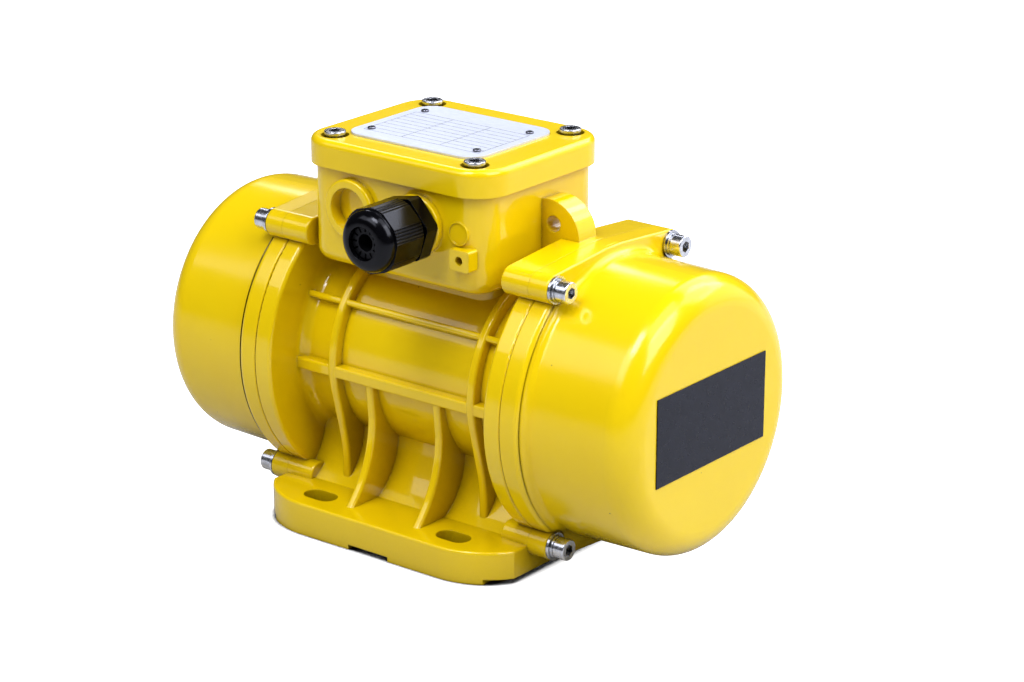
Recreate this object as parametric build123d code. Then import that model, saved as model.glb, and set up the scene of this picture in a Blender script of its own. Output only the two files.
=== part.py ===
from build123d import *
import math
import os

# Foot-mounted electric vibrator: a short motor with a pair of eccentric weights on each shaft end,
# closed by two deep cast covers. Millimetres.
# +X runs along the shaft, +Z is up, and the origin is on the floor under the middle of the foot.

# Overall
shaft_height = 65.0
body_length = 123.0
cover_length = 56.0

# Cast housing barrel, swept out into a ring at both ends
barrel_radius = 40.0
barrel_wall = 4.0
ring_radius = 60.0
ring_width = 8.0
ring_edge = 0.8
ring_sweep = 5.0
cast_fillet = 1.6
seat_radius = 43.5
seat_depth = 6.0

# Screw lugs that hold the end covers
lug_y = 36.8
lug_z = 51.5
lug_radius = 5.7
lug_length = 13.0
shelf_drop = 3.0

# Foot plate
foot_half_width = 64.4
foot_thickness = 13.3
foot_corner_radius = 31.3
foot_front_half_length = 35.3
foot_top_edge = 1.0
foot_recess_depth = 2.0
foot_recess_half_length = 10.0
foot_pad_end = 53.0
foot_slot_length = 15.0
foot_slot_width = 9.0
foot_hole_spacing_x = 68.0
foot_hole_spacing_y = 106.0

# Waisted plinth between barrel and foot
plinth_waist_y = 27.0
plinth_waist_drop = 28.5
plinth_foot_y = 40.0

# Ribs on the barrel
rib_radius = 44.5
hoop_x = 35.0
hoop_thickness = 4.0
hoop_foot_y = 36.5
hoop_knee_height = 15.0
hoop_knee_radius = 70.0
hoop_knee_room = 0.95
gusset_x = 17.0
gusset_thickness = 3.8
gusset_top_inset = 1.0
gusset_waist_y = 41.8
gusset_waist_height = 33.0
gusset_foot_y = 56.0
upper_rib_angle = 35.0
upper_rib_thickness = 2.6
lower_rib_angle = -3.0
lower_rib_thickness = 5.0
rib_edge = 1.3
long_rib_edge = 1.0
long_rib_step = 0.4

# Terminal box, cast in one with the housing, with its heights above the shaft or above its own underside
box_x = -4.5
box_y = -5.0
box_half_length = 44.0
box_half_width = 37.0
box_corner_radius = 11.0
box_lift = 42.0
box_height = 40.8
box_wall = 4.0
box_floor = 4.0
box_bottom_fillet = 5.0
pedestal_half_length = 36.0
pedestal_half_width = 17.0
pedestal_depth = 19.0
box_boss_radius = 6.2

# Cable entries, earth boss and round cast mark on the near wall of the box
entry_rise = 24.6
entry_boss_radius = 12.0
entry_boss_height = 3.0
entry_boss_edge = 1.0
gland_x = 8.5
blind_x = -24.5
blind_radius = 8.6
blind_depth = 5.5
earth_x = 31.0
earth_rise = 15.0
earth_length = 9.5
earth_height = 8.5
earth_depth = 3.6
earth_hole_radius = 1.7
earth_hole_depth = 6.0
mark_x = 28.0
mark_rise = 24.3
mark_radius = 4.8
mark_band = 0.7
mark_height = 0.4

# Lifting eye on the end wall of the box
eye_half_thickness = 5.5
eye_x = 43.0
eye_rise = 17.8
eye_radius = 14.5
eye_hole_x = 45.3
eye_hole_rise = 22.8
eye_hole_radius = 3.25

# Lead passage from the box into the winding space
passage_x = 24.0
passage_y = -8.0
passage_radius = 4.0

# Terminal box lid
lid_overhang_x = 3.0
lid_overhang_y = 2.5
lid_corner_radius = 15.0
lid_plate = 7.8
lid_skirt_drop = 1.5
lid_skirt_clearance = 0.5
lid_top_edge = 2.5
lid_pocket_inset = 11.0
lid_pocket_depth = 3.0
lid_pocket_corner = 6.5
gasket_thickness = 1.5
gasket_inset = 0.5
lid_screw_spacing_x = 69.5
lid_screw_spacing_y = 59.5
lid_counterbore_radius = 5.5
lid_counterbore_depth = 3.2

# Nameplate and its rivets
plate_length = 65.0
plate_width = 52.7
plate_shift = -1.2
plate_corner_radius = 8.0
plate_thickness = 0.8
rivet_spacing_x = 52.6
rivet_spacing_y = 32.7
rivet_head_radius = 1.6
rivet_head_height = 0.8
rivet_head_edge = 0.4
rivet_shank_radius = 0.9
rivet_length = 3.0

# End covers over the weights
cover_flange = 8.9
cover_edge = 2.6
ear_edge = 0.8
spot_face_radius = 6.3
cover_step_fillet = 3.2
drum_radius = 55.9
drum_end_radius = 54.9
cover_end_fillet = 11.3
cover_wall = 3.0
cover_end_space = 13.5

# Rubber ring between cover and housing
seal_pitch_radius = 55.0
seal_section_radius = 1.0
seal_groove_width = 2.6

# End label on the right cover
label_length = 71.0
label_height = 35.0
label_thickness = 0.4
label_y = -1.7
label_rise = 1.0

# M5 socket screws with washers
screw_radius = 2.5
screw_head_radius = 4.25
screw_head_height = 5.0
screw_length = 20.0
screw_socket_flats = 4.0
screw_socket_depth = 2.5
screw_head_edge = 0.5
screw_play = 0.25
thread_play = 0.05
washer_radius = 5.5
washer_thickness = 1.0
spring_washer_radius = 4.6
spring_washer_thickness = 1.2
spring_washer_gap = 1.2

# Bearing flanges and ball bearings
flange_thickness = 4.0
flange_rim_inset = 0.5
hub_wall = 5.0
fit_play = 0.05
bearing_outer_radius = 21.0
bearing_bore_radius = 7.5
bearing_width = 13.0
bearing_inner_race = 11.7
bearing_outer_race = 16.9
ball_radius = 4.0
ball_count = 7
race_play = 0.06
cage_half_band = 0.95
cage_width = 10.6
cage_pocket_play = 0.12

# Stator and rotor
stack_length = 42.0
stator_bore_radius = 25.0
air_gap = 0.4
slot_count = 18
slot_inner_radius = 26.4
slot_outer_radius = 31.8
slot_inner_width = 4.4
slot_outer_width = 6.6
slot_mouth = 2.0
wire_play = 0.25
end_turn_length = 12.0
end_turn_gap = 0.6
end_turn_overhang = 1.0
end_turn_corner = 2.1
rotor_bar_count = 14
rotor_bar_radius = 2.0
rotor_bar_pitch_radius = 20.4
cage_ring_inner_radius = 15.0
cage_ring_length = 6.0

# Shaft
shaft_core_radius = 10.0
shaft_shoulder_radius = 9.5
shaft_end_radius = 7.0
shaft_chamfer = 0.8
shaft_end_margin = 4.6
core_seat_half_length = 30.0

# Eccentric weights on each shaft end
weight_radius = 46.0
weight_hub_radius = 15.0
weight_half_angle = 78.0
fixed_hub_length = 3.0
fixed_hub_step = 1.0
weight_spacing = 0.5
clamp_half_width = 11.0
clamp_height = 23.0
clamp_slit = 2.0
clamp_screw_z = 16.5
clamp_screw_length = 16.0
clamp_screw_recess = 2.0
key_width = 5.0
key_height = 5.0
key_depth = 3.0
key_margin = 2.0
key_play = 0.03
clip_groove_depth = 0.6
clip_thickness = 1.0
clip_radius = 10.5
clip_play = 0.4
clip_opening = 5.0

# Cable gland
gland_thread_radius = 9.9
gland_thread_length = 13.0
gland_thread_play = 0.1
gland_washer_thickness = 1.5
gland_washer_radius = 10.6
gland_hex_flats = 24.0
gland_hex_corner_radius = 13.4
gland_hex_turn = 11.0
gland_hex_length = 6.3
gland_neck_radius = 9.0
gland_neck_length = 9.0
gland_neck_play = 0.4
gland_passage_radius = 7.0
gland_nut_gap = 1.6
gland_nut_length = 20.5
gland_nut_dome_radius = 12.2
gland_nut_dome_edge = 5.0
gland_grip_radius = 13.1
gland_grip_flats = 25.2
gland_grip_turn = 15.0
gland_grip_length = 15.5
gland_grip_grooves = 5
gland_grip_pitch = 5.5
gland_grip_depth = 0.5
gland_mouth_radius = 6.6
gland_bore_radius = 3.4
gland_seal_play = 0.3
gland_seal_recess = 2.0
seal_notch_count = 12
seal_notch_width = 0.7
seal_notch_depth = 1.2
seal_notch_margin = 0.8
hexagon_sides = 6
locknut_flats = 26.0
locknut_thickness = 5.0

# Terminal block inside the box
block_length = 50.0
block_width = 26.0
block_thickness = 8.0
block_pillar_height = 6.0
block_pillar_radius = 4.0
block_pillar_spacing = 42.0
block_screw_radius = 1.6
block_screw_head_radius = 3.0
block_screw_head_height = 2.2
block_screw_length = 14.0
stud_radius = 2.0
stud_spacing_x = 13.0
stud_spacing_y = 13.0
stud_height = 12.0
stud_columns = (-1, 0, 1)
terminal_nut_flats = 7.0
terminal_nut_height = 3.2
link_thickness = 0.8
link_margin = 3.6

# How far a cutter runs past the face it opens
past = 1.0

# Worked out from the sizes above
shaft_axis = Axis((0, 0, shaft_height), (1, 0, 0))
half_body = body_length / 2
half_total = half_body + cover_length
bore_radius = barrel_radius - barrel_wall
seat_x = half_body - seat_depth
cover_lug_face = half_body + cover_flange
washer_x = cover_lug_face
spring_washer_x = washer_x + washer_thickness
screw_seat_x = spring_washer_x + spring_washer_thickness
bearing_x = half_body - bearing_width
box_bottom = shaft_height + box_lift
box_top = box_bottom + box_height
entry_z = box_bottom + entry_rise
earth_z = box_bottom + earth_rise
mark_z = box_bottom + mark_rise
eye_z = box_bottom + eye_rise
eye_hole_z = box_bottom + eye_hole_rise
label_z = shaft_height + label_rise
box_near_y = box_y - box_half_width
lid_underside = box_top + gasket_thickness
lid_top = lid_underside + lid_plate
lid_screw_seat = lid_top - lid_counterbore_depth
plate_x = box_x + plate_shift
entry_face_y = box_near_y - entry_boss_height
floor_top = box_bottom + box_floor
shaft_half_length = half_total - cover_wall - cover_end_space
clip_face_x = shaft_half_length - shaft_end_margin - clip_thickness
weight_x = half_body
weight_room = clip_face_x - clip_play - weight_x - fixed_hub_length - weight_spacing
weight_thickness = weight_room / 2
key_length = weight_thickness - key_margin
fixed_face_x = weight_x + fixed_hub_length + weight_thickness
adjust_x = fixed_face_x + weight_spacing
clip_x = clip_face_x
ball_x = bearing_x + bearing_width / 2
ball_pitch_radius = (bearing_outer_radius + bearing_bore_radius) / 2
gland_hex_y = entry_face_y - gland_washer_thickness
gland_neck_y = gland_hex_y - gland_hex_length
gland_nut_y = gland_neck_y - gland_nut_gap
gland_tip_y = gland_nut_y - gland_nut_length


def across(x):
    """Plane square to the shaft at x, its own x along +Y and its own y along +Z from the shaft."""
    return Plane(origin=(x, 0, shaft_height), x_dir=(0, 1, 0), z_dir=(1, 0, 0))


def rod_x(radius, x_start, x_end, y=0.0, z=shaft_height):
    """Round bar along X."""
    disc = Plane(origin=(x_start, y, z), z_dir=(1, 0, 0)) * Circle(radius)
    return extrude(disc, amount=x_end - x_start)


def rod_y(radius, y_start, y_end, x, z):
    """Round bar along Y, from y_start to the higher y_end."""
    disc = Plane(origin=(x, y_start, z), x_dir=(1, 0, 0), z_dir=(0, 1, 0)) * Circle(radius)
    return extrude(disc, amount=y_end - y_start)


def rod_z(radius, z_start, z_end, x, y):
    """Round bar along Z."""
    return extrude(Pos(x, y, z_start) * Circle(radius), amount=z_end - z_start)


def block(x_start, x_end, y_start, y_end, z_start, z_end):
    """Rectangular block between six planes."""
    size = (x_end - x_start, y_end - y_start, z_end - z_start)
    middle = ((x_start + x_end) / 2, (y_start + y_end) / 2, (z_start + z_end) / 2)
    return Pos(*middle) * Box(*size)


def turned(points, radii):
    """Body turned about the shaft, from (x, radius) corners and the radius of each corner."""
    corners = [(x, 0, shaft_height + radius) for x, radius in points]
    outline = FilletPolyline(*corners, radius=radii, close=True)
    return revolve(make_face(outline), axis=shaft_axis)


def ring_x(outer, inner, x_start, x_end):
    """Plain ring about the shaft."""
    return rod_x(outer, x_start, x_end) - rod_x(inner, x_start - past, x_end + past)


def group(parts):
    """Several loose solids kept together."""
    return Compound([solid for part in parts for solid in part.solids()])


def mirrored(part):
    """The same piece on the other shaft end."""
    return mirror(part, about=Plane.YZ)


def lug_places():
    """Centres of the four screw lugs, measured from the shaft."""
    return [(side * lug_y, level * lug_z) for side in (1, -1) for level in (1, -1)]


def bridge_face(level):
    """Filler with straight tangent edges from lug over the end ring to lug, above or below the shaft."""
    reach = math.hypot(lug_y, lug_z)
    turn = math.atan2(lug_z, lug_y) + math.acos((ring_radius - lug_radius) / reach)
    normal = (math.cos(turn), math.sin(turn))
    half = [
        (lug_y, lug_z),
        (lug_y + lug_radius * normal[0], lug_z + lug_radius * normal[1]),
        (ring_radius * normal[0], ring_radius * normal[1]),
    ]
    corners = [(side * y, level * z) for side, places in ((1, half), (-1, half[::-1])) for y, z in places]
    return make_face(Polyline((0, 0), *corners, close=True))


def lug_faces(radius):
    """A disc at every lug."""
    faces = Sketch()
    for place in lug_places():
        faces += Pos(*place) * Circle(radius)
    return faces


def ear_face():
    """Outline of the lugs and bridges, shared by the housing's end and the cover."""
    return lug_faces(lug_radius) + bridge_face(1) + bridge_face(-1)


def rounded_block(half_length, half_width, corner, z_start, z_end):
    """Upright block with rounded corners, centred on the terminal box."""
    outline = Pos(box_x, box_y, z_start) * RectangleRounded(2 * half_length, 2 * half_width, corner)
    return extrude(outline, amount=z_end - z_start)


def lid_screw_places():
    """Centres of the lid screws."""
    return [
        (box_x + side * lid_screw_spacing_x / 2, box_y + hand * lid_screw_spacing_y / 2)
        for side in (1, -1)
        for hand in (1, -1)
    ]


def foot_hole_places():
    """Centres of the foot slots."""
    return [
        (side * foot_hole_spacing_x / 2, hand * foot_hole_spacing_y / 2)
        for side in (1, -1)
        for hand in (1, -1)
    ]


def housing_barrel():
    """Barrel that sweeps out into a wide ring at both ends."""
    ring_inner = half_body - ring_width
    right = [
        (ring_inner, barrel_radius),
        (ring_inner, ring_radius),
        (half_body, ring_radius),
        (half_body, 0),
    ]
    radii = [ring_sweep, cast_fillet, ring_edge, 0]
    left = [(-x, radius) for x, radius in reversed(right)]
    return turned(right + left, radii + list(reversed(radii)))


def rounded_rib(rib, thickness):
    """Flat rib across the shaft with its long outer edges rounded."""
    outline = [edge for face in rib.faces().filter_by(Axis.X) for edge in face.edges()]
    return fillet([edge for edge in outline if edge.bounding_box().size.Z > thickness], rib_edge)


def hoop_rib(x):
    """Hoop round the barrel that runs straight down to the foot on both sides."""
    knee = (hoop_foot_y, foot_thickness + hoop_knee_height - shaft_height)
    leave = math.atan2(knee[1], knee[0]) + math.acos(rib_radius / math.hypot(*knee))
    start = (rib_radius * math.cos(leave), rib_radius * math.sin(leave))
    foot = (hoop_foot_y, foot_thickness - shaft_height - past)
    shorter = min(math.dist(start, knee), math.dist(knee, foot))
    bend = math.atan2(start[0] - knee[0], start[1] - knee[1])
    knee_radius = min(hoop_knee_radius, hoop_knee_room * shorter / math.tan(bend / 2))
    right = FilletPolyline(start, knee, foot, radius=[knee_radius])
    left = mirror(right, about=Plane.YZ)
    crown = ThreePointArc(start, (0, rib_radius), (-start[0], start[1]))
    sole = Line(foot, (-foot[0], foot[1]))
    face = make_face(right.edges() + left.edges() + crown.edges() + sole.edges())
    rib = extrude(across(x - hoop_thickness / 2) * face, amount=hoop_thickness)
    return rounded_rib(rib, hoop_thickness)


def gusset(x):
    """Curved gusset from the lower long rib down to the front and back edges of the foot."""
    leave = math.radians(lower_rib_angle)
    reach = rib_radius - gusset_top_inset
    top = (reach * math.cos(leave), reach * math.sin(leave))
    foot_level = foot_thickness - shaft_height
    waist_level = foot_level + gusset_waist_height
    face = Sketch()
    for side in (1, -1):
        start = (side * top[0], top[1])
        waist = (side * gusset_waist_y, waist_level)
        foot = (side * gusset_foot_y, foot_level)
        upper = Line(start, waist)
        sweep = TangentArc(waist, foot, tangent=(0, -1))
        below = foot_level - past
        back = Polyline(foot, (foot[0], below), (0, below), (0, top[1]), start)
        face += make_face(upper.edges() + sweep.edges() + back.edges())
    rib = extrude(across(x - gusset_thickness / 2) * face, amount=gusset_thickness)
    return rounded_rib(rib, gusset_thickness)


def long_rib(angle, thickness, side):
    """Straight rib along the barrel between the end rings."""
    reach = half_body - ring_width / 2
    bar = block(-reach, reach, 0, rib_radius - long_rib_step, -thickness / 2, thickness / 2)
    bar = fillet(bar.edges().filter_by(Axis.X).group_by(Axis.Y)[-1], long_rib_edge)
    place = Pos(0, 0, shaft_height)
    if side < 0:
        return place * Rot(180 - angle, 0, 0) * bar
    return place * Rot(angle, 0, 0) * bar


def foot_plate():
    """Foot with swept corners, four slots and two contact pads."""
    full_length = 2 * (foot_front_half_length + foot_corner_radius)
    outline = RectangleRounded(full_length, 2 * foot_half_width, foot_corner_radius)
    outline &= Rectangle(body_length, 3 * foot_half_width)
    plate = extrude(outline, amount=foot_thickness)
    plate = fillet(plate.edges().group_by(Axis.Z)[-1], foot_top_edge)
    span = 2 * foot_half_width
    plate -= block(-foot_recess_half_length, foot_recess_half_length, -span, span, -past, foot_recess_depth)
    plate -= block(foot_pad_end, body_length, -span, span, -past, foot_recess_depth)
    plate -= block(-body_length, -foot_pad_end, -span, span, -past, foot_recess_depth)
    return plate


def plinth():
    """Waisted web that carries the barrel on the foot."""
    foot_level = foot_thickness - shaft_height
    waist_level = -plinth_waist_drop
    face = Sketch()
    for side in (1, -1):
        waist = (side * plinth_waist_y, waist_level)
        foot = (side * plinth_foot_y, foot_level)
        sweep = TangentArc(waist, foot, tangent=(0, -1))
        below = foot_level - past
        back = Polyline(foot, (foot[0], below), (0, below), (0, waist_level), waist)
        face += make_face(sweep.edges() + back.edges())
    reach = half_body - ring_width / 2
    return extrude(across(-reach) * face, amount=2 * reach)


def foot_slots():
    """Cutters for the four slots."""
    faces = Sketch()
    for x, y in foot_hole_places():
        faces += Pos(x, y) * SlotOverall(foot_slot_length, foot_slot_width)
    return extrude(Pos(0, 0, -past) * faces, amount=foot_thickness + 2 * past)


def housing_lugs():
    """Lugs and the upper shelf on the inner side of both end rings."""
    upper = bridge_face(1) + lug_faces(lug_radius)
    shelf_bottom = lug_z - shelf_drop
    window = Pos(0, shelf_bottom + ring_radius / 2) * Rectangle(3 * ring_radius, ring_radius)
    shelf = upper & window
    right = extrude(across(half_body - lug_length) * (shelf + lug_faces(lug_radius)), amount=lug_length)
    right += extrude(across(half_body - ring_width) * bridge_face(1), amount=ring_width)
    right = fillet(right.edges().group_by(Axis.X)[0], cast_fillet / 2)
    return right + mirrored(right)


def box_casting():
    """Outside of the terminal box with its pedestal, entries, earth boss and cast mark."""
    body = rounded_block(box_half_length, box_half_width, box_corner_radius, box_bottom, box_top)
    body = fillet(body.edges().group_by(Axis.Z)[0], box_bottom_fillet)
    body += rounded_block(
        pedestal_half_length,
        pedestal_half_width,
        box_corner_radius,
        box_bottom - pedestal_depth,
        box_bottom + box_floor,
    )
    for x in (gland_x, blind_x):
        boss = rod_y(entry_boss_radius, entry_face_y, box_near_y + box_wall / 2, x, entry_z)
        body += fillet(boss.edges().group_by(Axis.Y)[0], entry_boss_edge)
    earth = block(
        earth_x - earth_length / 2,
        earth_x + earth_length / 2,
        box_near_y - earth_depth,
        box_near_y + box_wall / 2,
        earth_z - earth_height / 2,
        earth_z + earth_height / 2,
    )
    body += fillet(earth.edges().filter_by(Axis.Y), entry_boss_edge)
    mark = rod_y(mark_radius, box_near_y - mark_height, box_near_y + past, mark_x, mark_z)
    mark -= rod_y(mark_radius - mark_band, box_near_y - past, box_near_y, mark_x, mark_z)
    return body + mark


def box_cutters():
    """Inside of the terminal box and the holes in its wall."""
    inner_length = box_half_length - box_wall
    inner_width = box_half_width - box_wall
    inner_corner = box_corner_radius - box_wall
    cavity = rounded_block(inner_length, inner_width, inner_corner, floor_top, box_top + past)
    for x, y in lid_screw_places():
        cavity -= rod_z(box_boss_radius, floor_top, box_top + past, x, y)
    cavity += rod_y(gland_thread_radius + gland_thread_play, entry_face_y - past, box_y, gland_x, entry_z)
    cavity += rod_y(blind_radius, entry_face_y - past, entry_face_y + blind_depth, blind_x, entry_z)
    cavity += rod_y(
        earth_hole_radius,
        box_near_y - earth_depth - past,
        box_near_y - earth_depth + earth_hole_depth,
        earth_x,
        earth_z,
    )
    cavity += rod_z(passage_radius, shaft_height, floor_top + past, passage_x, passage_y)
    for x, y in lid_screw_places():
        tip = lid_screw_seat - screw_length - past
        cavity += rod_z(screw_radius + thread_play, tip, box_top + past, x, y)
    return cavity


def lifting_eye():
    """Eye plate between the box wall and the shelf."""
    wall_x = box_x + box_half_length
    eye = rod_y(eye_radius, -eye_half_thickness, eye_half_thickness, eye_x, eye_z)
    eye += block(
        wall_x - box_wall / 2,
        half_body - ring_width + past,
        -eye_half_thickness,
        eye_half_thickness,
        shaft_height + (bore_radius + barrel_radius) / 2,
        eye_z,
    )
    eye -= block(0, wall_x - box_wall / 2, -box_half_width, box_half_width, 0, 2 * eye_z)
    return eye - rod_y(eye_hole_radius, -box_half_width, box_half_width, eye_hole_x, eye_hole_z)


def housing_bores():
    """Stator bore, bearing flange seats, seal grooves and tapped lug holes."""
    cut = rod_x(bore_radius, -half_body - past, half_body + past)
    right = rod_x(seat_radius, seat_x, half_body + past)
    groove_half = seal_groove_width / 2
    groove_floor = half_body - 2 * seal_section_radius
    outer = seal_pitch_radius + groove_half
    inner = seal_pitch_radius - groove_half
    right += ring_x(outer, inner, groove_floor, half_body + past)
    for y, z in lug_places():
        tip = screw_seat_x - screw_length - past
        right += rod_x(screw_radius + thread_play, tip, half_body + past, y, shaft_height + z)
    return cut + right + mirrored(right)


def motor_frame():
    """Housing casting: barrel, rings, ribs, foot, terminal box and lifting eye."""
    casting = housing_barrel() + foot_plate() + plinth()
    for x in (hoop_x, -hoop_x):
        casting += hoop_rib(x)
    for x in (gusset_x, -gusset_x):
        casting += gusset(x)
    for side in (1, -1):
        casting += long_rib(upper_rib_angle, upper_rib_thickness, side)
        casting += long_rib(lower_rib_angle, lower_rib_thickness, side)
    casting += housing_lugs()
    casting += box_casting()
    casting += lifting_eye()
    casting -= housing_bores()
    casting -= box_cutters()
    casting -= foot_slots()
    return casting


def end_cover():
    """Right-hand cover: flange with lugs, tapered drum and rounded end, hollow inside."""
    ears = extrude(across(half_body) * ear_face(), amount=cover_flange)
    ears = fillet(ears.edges().group_by(Axis.X)[-1], ear_edge)
    drum = turned(
        [
            (half_body, 0),
            (half_body, ring_radius),
            (cover_lug_face, ring_radius),
            (cover_lug_face, drum_radius),
            (half_total, drum_end_radius),
            (half_total, 0),
        ],
        [0, ring_edge, cover_edge, cover_step_fillet, cover_end_fillet, 0],
    )
    hollow = turned(
        [
            (half_body - past, 0),
            (half_body - past, drum_radius - cover_wall),
            (half_body, drum_radius - cover_wall),
            (half_total - cover_wall, drum_end_radius - cover_wall),
            (half_total - cover_wall, 0),
        ],
        [0, 0, 0, cover_end_fillet - cover_wall, 0],
    )
    cover = ears + drum - hollow
    for y, z in lug_places():
        level = shaft_height + z
        cover -= rod_x(screw_radius + screw_play, half_body - past, cover_lug_face + past, y, level)
        cover -= rod_x(spot_face_radius, cover_lug_face, half_total, y, level)
    return cover


def socket_screw(length):
    """Socket head screw along Z with the underside of its head at z = 0."""
    head = rod_z(screw_head_radius, 0, screw_head_height, 0, 0)
    head = fillet(head.edges().group_by(Axis.Z)[-1], screw_head_edge)
    socket = Pos(0, 0, screw_head_height - screw_socket_depth) * RegularPolygon(
        screw_socket_flats / 2, hexagon_sides, major_radius=False
    )
    return head + rod_z(screw_radius, -length, 0, 0, 0) - extrude(socket, amount=screw_socket_depth + past)


def ring_washer(outer, inner, thickness):
    """Ring along Z from z = 0."""
    return rod_z(outer, 0, thickness, 0, 0) - rod_z(inner, -past, thickness + past, 0, 0)


def flat_washer():
    """Flat washer of a cover screw."""
    return ring_washer(washer_radius, screw_radius + screw_play, washer_thickness)


def cut_washer():
    """Split spring washer along Z from z = 0."""
    ring = ring_washer(spring_washer_radius, screw_radius + screw_play, spring_washer_thickness)
    half_gap = spring_washer_gap / 2
    end = spring_washer_thickness + past
    return ring - block(0, 2 * spring_washer_radius, -half_gap, half_gap, -past, end)


def at_lugs(piece, x):
    """Copies of a piece made along Z, at every cover lug of both ends, pointing outward."""
    copies = []
    for y, z in lug_places():
        copies.append(Pos(x, y, shaft_height + z) * Rot(0, 90, 0) * piece)
        copies.append(Pos(-x, y, shaft_height + z) * Rot(0, -90, 0) * piece)
    return group(copies)


def seal_ring(side):
    """Round rubber ring in the face of the housing's end ring."""
    plane = Plane(origin=(side * (half_body - seal_section_radius), 0, shaft_height), z_dir=(1, 0, 0))
    return plane * Torus(seal_pitch_radius, seal_section_radius)


def bearing_flange():
    """Right-hand bearing flange: rim, web and bearing hub."""
    inner_x = seat_x + fit_play
    hub_radius = bearing_outer_radius + hub_wall
    rim = seat_radius - fit_play
    web_x = inner_x + flange_thickness
    disc = turned(
        [
            (bearing_x, 0),
            (bearing_x, hub_radius),
            (inner_x + flange_rim_inset, hub_radius + cast_fillet),
            (inner_x, rim - hub_wall),
            (inner_x, rim),
            (web_x, rim),
            (web_x, hub_radius),
            (half_body, hub_radius),
            (half_body, 0),
        ],
        [0, cast_fillet / 2, cast_fillet / 2, 0, 0, 0, cast_fillet / 2, cast_fillet / 2, 0],
    )
    return disc - rod_x(bearing_outer_radius, bearing_x - past, half_body + past)


def race_groove():
    """Ball track about the shaft in the middle of the right-hand bearing."""
    plane = Plane(origin=(ball_x, 0, shaft_height), z_dir=(1, 0, 0))
    return plane * Torus(ball_pitch_radius, ball_radius + race_play)


def ball_places():
    """Ball centres of the right-hand bearing."""
    pitch = ball_pitch_radius
    turns = [2 * math.pi * index / ball_count for index in range(ball_count)]
    return [(ball_x, pitch * math.cos(turn), shaft_height + pitch * math.sin(turn)) for turn in turns]


def bearing_outer_ring():
    """Outer ring of the right-hand bearing."""
    return ring_x(bearing_outer_radius, bearing_outer_race, bearing_x, half_body) - race_groove()


def bearing_inner_ring():
    """Inner ring of the right-hand bearing."""
    return ring_x(bearing_inner_race, bearing_bore_radius, bearing_x, half_body) - race_groove()


def bearing_balls():
    """Balls of the right-hand bearing."""
    return group([Pos(*place) * Sphere(ball_radius) for place in ball_places()])


def bearing_cage():
    """Cage of the right-hand bearing with a pocket for every ball."""
    cage = ring_x(
        ball_pitch_radius + cage_half_band,
        ball_pitch_radius - cage_half_band,
        ball_x - cage_width / 2,
        ball_x + cage_width / 2,
    )
    for place in ball_places():
        cage -= Pos(*place) * Sphere(ball_radius + cage_pocket_play)
    return cage


def slot_face(play):
    """Winding slot on the local +X side of the stator, smaller all round by play."""
    inner = slot_inner_radius + play
    outer = slot_outer_radius - play
    half_inner = slot_inner_width / 2 - play
    half_outer = slot_outer_width / 2 - play
    corners = [(inner, -half_inner), (outer, -half_outer), (outer, half_outer), (inner, half_inner)]
    return make_face(Polyline(*corners, close=True))


def stator_core():
    """Slotted lamination stack."""
    face = Circle(bore_radius) - Circle(stator_bore_radius)
    mouth_start = stator_bore_radius - past
    mouth_end = slot_inner_radius + past
    mouth = Pos((mouth_start + mouth_end) / 2, 0) * Rectangle(mouth_end - mouth_start, slot_mouth)
    slot = slot_face(0) + mouth
    for index in range(slot_count):
        face -= Rot(0, 0, 360 * index / slot_count) * slot
    return extrude(across(-stack_length / 2) * face, amount=stack_length)


def stator_windings():
    """Coil sides in the slots and the end turns that join them."""
    reach = stack_length / 2 + end_turn_gap
    bars = Sketch()
    for index in range(slot_count):
        bars += Rot(0, 0, 360 * index / slot_count) * slot_face(wire_play)
    coils = extrude(across(-reach - past) * bars, amount=2 * (reach + past))
    outer = slot_outer_radius + end_turn_overhang
    inner = slot_inner_radius
    end = reach + end_turn_length
    right = turned(
        [(reach, inner), (reach, outer), (end, outer), (end, inner)],
        [0, 0, end_turn_corner, end_turn_corner],
    )
    return coils + right + mirrored(right)


def bar_faces():
    """Round bars of the rotor cage, about the shaft."""
    faces = Sketch()
    for index in range(rotor_bar_count):
        turn = Rot(0, 0, 360 * index / rotor_bar_count)
        faces += turn * Pos(rotor_bar_pitch_radius, 0) * Circle(rotor_bar_radius)
    return faces


def rotor_core():
    """Rotor lamination stack with round bar holes."""
    face = Circle(stator_bore_radius - air_gap) - Circle(shaft_core_radius) - bar_faces()
    return extrude(across(-stack_length / 2) * face, amount=stack_length)


def rotor_cage():
    """Cast aluminium bars and end rings of the rotor."""
    half_stack = stack_length / 2
    bars = extrude(across(-half_stack - past) * bar_faces(), amount=2 * (half_stack + past))
    outer = stator_bore_radius - 2 * air_gap
    right = ring_x(outer, cage_ring_inner_radius, half_stack, half_stack + cage_ring_length)
    return bars + right + mirrored(right)


def keyway(side):
    """Key seat cutter in one shaft end, above the shaft."""
    start = weight_x + fixed_hub_length
    half = key_width / 2
    seat = block(
        start,
        start + key_length,
        -half,
        half,
        shaft_height + shaft_end_radius - key_depth,
        shaft_height + shaft_end_radius + key_height,
    )
    return seat if side > 0 else mirrored(seat)


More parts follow.
